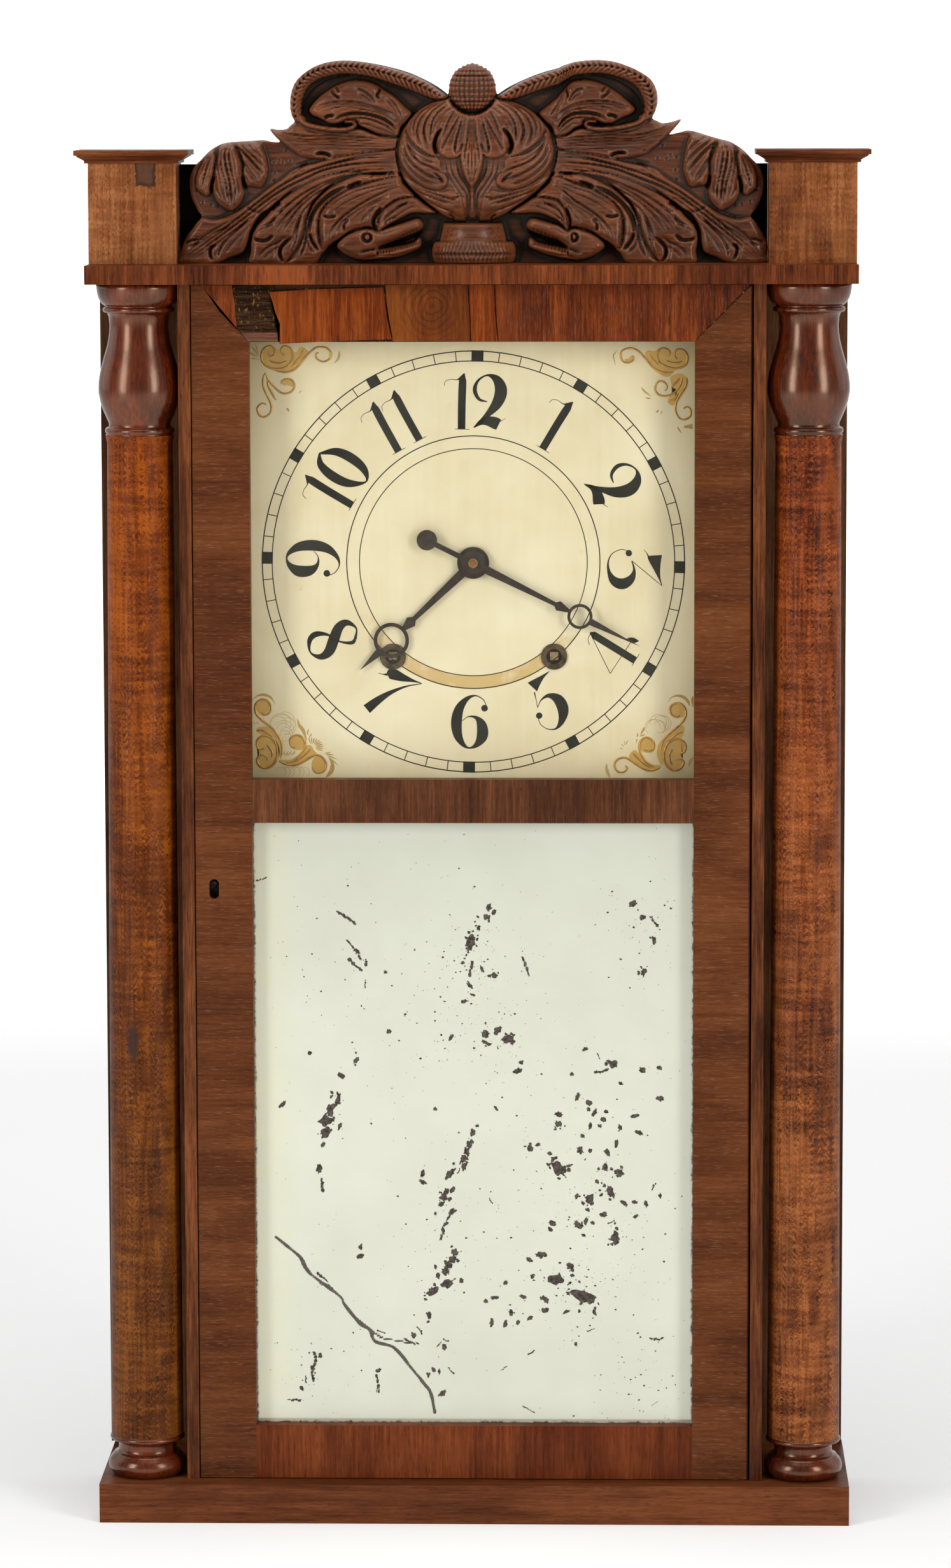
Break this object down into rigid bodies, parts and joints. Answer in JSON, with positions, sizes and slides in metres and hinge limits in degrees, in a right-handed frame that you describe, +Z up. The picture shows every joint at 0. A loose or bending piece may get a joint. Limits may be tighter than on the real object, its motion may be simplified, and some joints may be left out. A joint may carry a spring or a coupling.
{
  "type": "column and splat clock",
  "caption": "Weight-driven column and splat shelf clock: veneered case with turned columns, carved crest, glazed door with looking glass, painted dial and wooden striking movement.",
  "frame": {"origin": "middle of the plinth's underside", "axes": "+Z up, the dial and door face -Y, +X to the viewer's right"},
  "size_m": [0.4632, 0.117, 0.863],
  "materials": {
    "case_veneer": "satin",
    "door_veneer": "satin",
    "column_veneer": "polished",
    "block_veneer": "satin",
    "carved_wood": "satin",
    "dark_panel": "matte",
    "pine": "matte",
    "iron_wire": "satin",
    "painted_dial": "satin",
    "worn_brass": "worn",
    "plate_oak": "matte",
    "turned_maple": "satin",
    "cord": "matte",
    "window_glass": "clear",
    "mirror_glass": "worn",
    "lock_iron": "worn",
    "hand_iron": "satin",
    "cherry": "satin",
    "cast_iron": "rough",
    "bell_metal": "worn"
  },
  "bodies": {
    "case": {"plinth": "case_veneer", "side_board_left": "case_veneer", "side_board_right": "case_veneer", "cornice_board": "case_veneer", "back_board": "pine", "column_left": "column_veneer", "column_right": "column_veneer", "chimney_left": "block_veneer", "chimney_right": "block_veneer", "cap_left": "block_veneer", "cap_right": "block_veneer", "crest": "carved_wood", "crest_back_panel": "dark_panel", "back_nails": "iron_wire", "inner_rails": "pine", "dial_board": "painted_dial", "dial_bushes": "worn_brass", "hinge_pins": "iron_wire", "pulley_blocks": "pine", "front_plate": "plate_oak", "back_plate": "plate_oak", "plate_pillars": "turned_maple", "wire_posts": "iron_wire", "bell": "bell_metal", "time_line": "cord", "strike_line": "cord"},
    "door": {"door_stile_left": "door_veneer", "door_stile_right": "door_veneer", "door_top_rail": "door_veneer", "door_mid_rail": "door_veneer", "door_bottom_rail": "door_veneer", "dial_glass": "window_glass", "looking_glass": "mirror_glass", "mirror_backing": "pine", "glazing_strips": "pine", "lock_case": "lock_iron"},
    "bolt": {"lock_bolt": "lock_iron"},
    "minute": {"minute_hand": "hand_iron", "minute_pipe": "cherry"},
    "hour": {"hour_hand": "hand_iron", "hour_wheel": "cherry"},
    "minute_wheel": {"minute_wheel": "cherry"},
    "escape": {"escape_wheel": "cherry"},
    "third": {"third_wheel": "cherry"},
    "centre": {"centre_wheel": "cherry"},
    "second": {"second_wheel": "cherry"},
    "time_great": {"time_great_wheel": "cherry"},
    "pendulum": {"pendulum_rod": "iron_wire", "pendulum_bob": "worn_brass"},
    "verge": {"verge": "iron_wire"},
    "strike_great": {"strike_great_wheel": "cherry"},
    "strike_pin": {"strike_pin_wheel": "cherry"},
    "fly": {"fly": "cherry"},
    "hammer": {"hammer": "iron_wire"},
    "time_drum": {"time_drum": "turned_maple"},
    "strike_drum": {"strike_drum": "turned_maple"},
    "time_weight": {"time_weight": "cast_iron"},
    "strike_weight": {"strike_weight": "cast_iron"},
    "time_pulley": {"pulley_time": "turned_maple"},
    "strike_pulley": {"pulley_strike": "turned_maple"}
  },
  "joints": [
    {"name": "door_swing", "type": "hinge", "parent": "case", "child": "door", "pos_m": [0.1602, -0.0409, 0.024], "axis": [0, 0, 1], "range_deg": [0, 100]},
    {"name": "lock_throw", "type": "slide", "parent": "door", "child": "bolt", "axis": [-1, 0, 0], "range_m": [0, 0.005]},
    {"name": "minute_turn", "type": "hinge", "parent": "case", "child": "minute", "pos_m": [0, 0, 0.5695], "axis": [0, 1, 0], "continuous": true},
    {"name": "hour_turn", "type": "hinge", "parent": "case", "child": "hour", "pos_m": [0, 0, 0.5695], "axis": [0, 1, 0], "continuous": true},
    {"name": "minute_wheel_turn", "type": "hinge", "parent": "case", "child": "minute_wheel", "pos_m": [0, 0, 0.5935], "axis": [0, 1, 0], "continuous": true},
    {"name": "escape_turn", "type": "hinge", "parent": "case", "child": "escape", "pos_m": [0, 0, 0.5235], "axis": [0, 1, 0], "continuous": true},
    {"name": "third_turn", "type": "hinge", "parent": "case", "child": "third", "pos_m": [-0.01488, 0, 0.54117], "axis": [0, 1, 0], "continuous": true},
    {"name": "centre_turn", "type": "hinge", "parent": "case", "child": "centre", "pos_m": [0, 0, 0.5695], "axis": [0, 1, 0], "continuous": true},
    {"name": "second_turn", "type": "hinge", "parent": "case", "child": "second", "pos_m": [0.02079, 0, 0.54517], "axis": [0, 1, 0], "continuous": true},
    {"name": "time_great_turn", "type": "hinge", "parent": "case", "child": "time_great", "pos_m": [0.0475, 0, 0.5139], "axis": [0, 1, 0], "continuous": true},
    {"name": "pendulum_swing", "type": "hinge", "parent": "case", "child": "pendulum", "pos_m": [0, 0, 0.5465], "axis": [0, 1, 0], "range_deg": [-4, 4]},
    {"name": "verge_swing", "type": "hinge", "parent": "case", "child": "verge", "pos_m": [0, 0, 0.5465], "axis": [0, 1, 0], "range_deg": [-4, 4]},
    {"name": "strike_turn", "type": "hinge", "parent": "case", "child": "strike_pin", "pos_m": [-0.06157, 0, 0.55255], "axis": [0, 1, 0], "continuous": true},
    {"name": "strike_great_turn", "type": "hinge", "parent": "case", "child": "strike_great", "pos_m": [-0.0475, 0, 0.5139], "axis": [0, 1, 0], "continuous": true},
    {"name": "fly_turn", "type": "hinge", "parent": "case", "child": "fly", "pos_m": [-0.06157, 0, 0.57495], "axis": [0, 1, 0], "continuous": true},
    {"name": "hammer_lift", "type": "hinge", "parent": "case", "child": "hammer", "pos_m": [-0.036, 0, 0.6135], "axis": [0, -1, 0], "range_deg": [0, 14]},
    {"name": "time_wind", "type": "slide", "parent": "case", "child": "time_weight", "axis": [0, 0, 1], "range_m": [0, 0.42], "deforming": ["time_line"]},
    {"name": "strike_wind", "type": "slide", "parent": "case", "child": "strike_weight", "axis": [0, 0, 1], "range_m": [0, 0.42], "deforming": ["strike_line"]},
    {"name": "time_drum_turn", "type": "hinge", "parent": "case", "child": "time_drum", "pos_m": [0.0475, 0, 0.5139], "axis": [0, 1, 0], "range_deg": [-1590.4, 1590.4]},
    {"name": "strike_drum_turn", "type": "hinge", "parent": "case", "child": "strike_drum", "pos_m": [-0.0475, 0, 0.5139], "axis": [0, 1, 0], "range_deg": [-1590.4, 1590.4]},
    {"name": "time_pulley_turn", "type": "hinge", "parent": "case", "child": "time_pulley", "pos_m": [0.11775, 0, 0.716], "axis": [0, 1, 0], "range_deg": [-1982.6, 1982.6]},
    {"name": "strike_pulley_turn", "type": "hinge", "parent": "case", "child": "strike_pulley", "pos_m": [-0.11775, 0, 0.716], "axis": [0, 1, 0], "range_deg": [-1982.6, 1982.6]}
  ],
  "couplings": [
    {"joint": "hour_turn", "follows": "minute_turn", "ratio": 0.083333},
    {"joint": "minute_wheel_turn", "follows": "minute_turn", "ratio": -0.33333},
    {"joint": "third_turn", "follows": "escape_turn", "ratio": -0.10526},
    {"joint": "centre_turn", "follows": "escape_turn", "ratio": 0.011696},
    {"joint": "second_turn", "follows": "escape_turn", "ratio": -0.0021659},
    {"joint": "time_great_turn", "follows": "escape_turn", "ratio": 0.00028879},
    {"joint": "verge_swing", "follows": "pendulum_swing", "ratio": 1},
    {"joint": "strike_great_turn", "follows": "strike_turn", "ratio": -0.13333},
    {"joint": "fly_turn", "follows": "strike_turn", "ratio": -6},
    {"joint": "time_drum_turn", "follows": "time_wind", "rad_per_m": 66.007},
    {"joint": "time_pulley_turn", "follows": "time_wind", "rad_per_m": -82.305},
    {"joint": "strike_drum_turn", "follows": "strike_wind", "rad_per_m": -66.007},
    {"joint": "strike_pulley_turn", "follows": "strike_wind", "rad_per_m": 82.305}
  ]
}
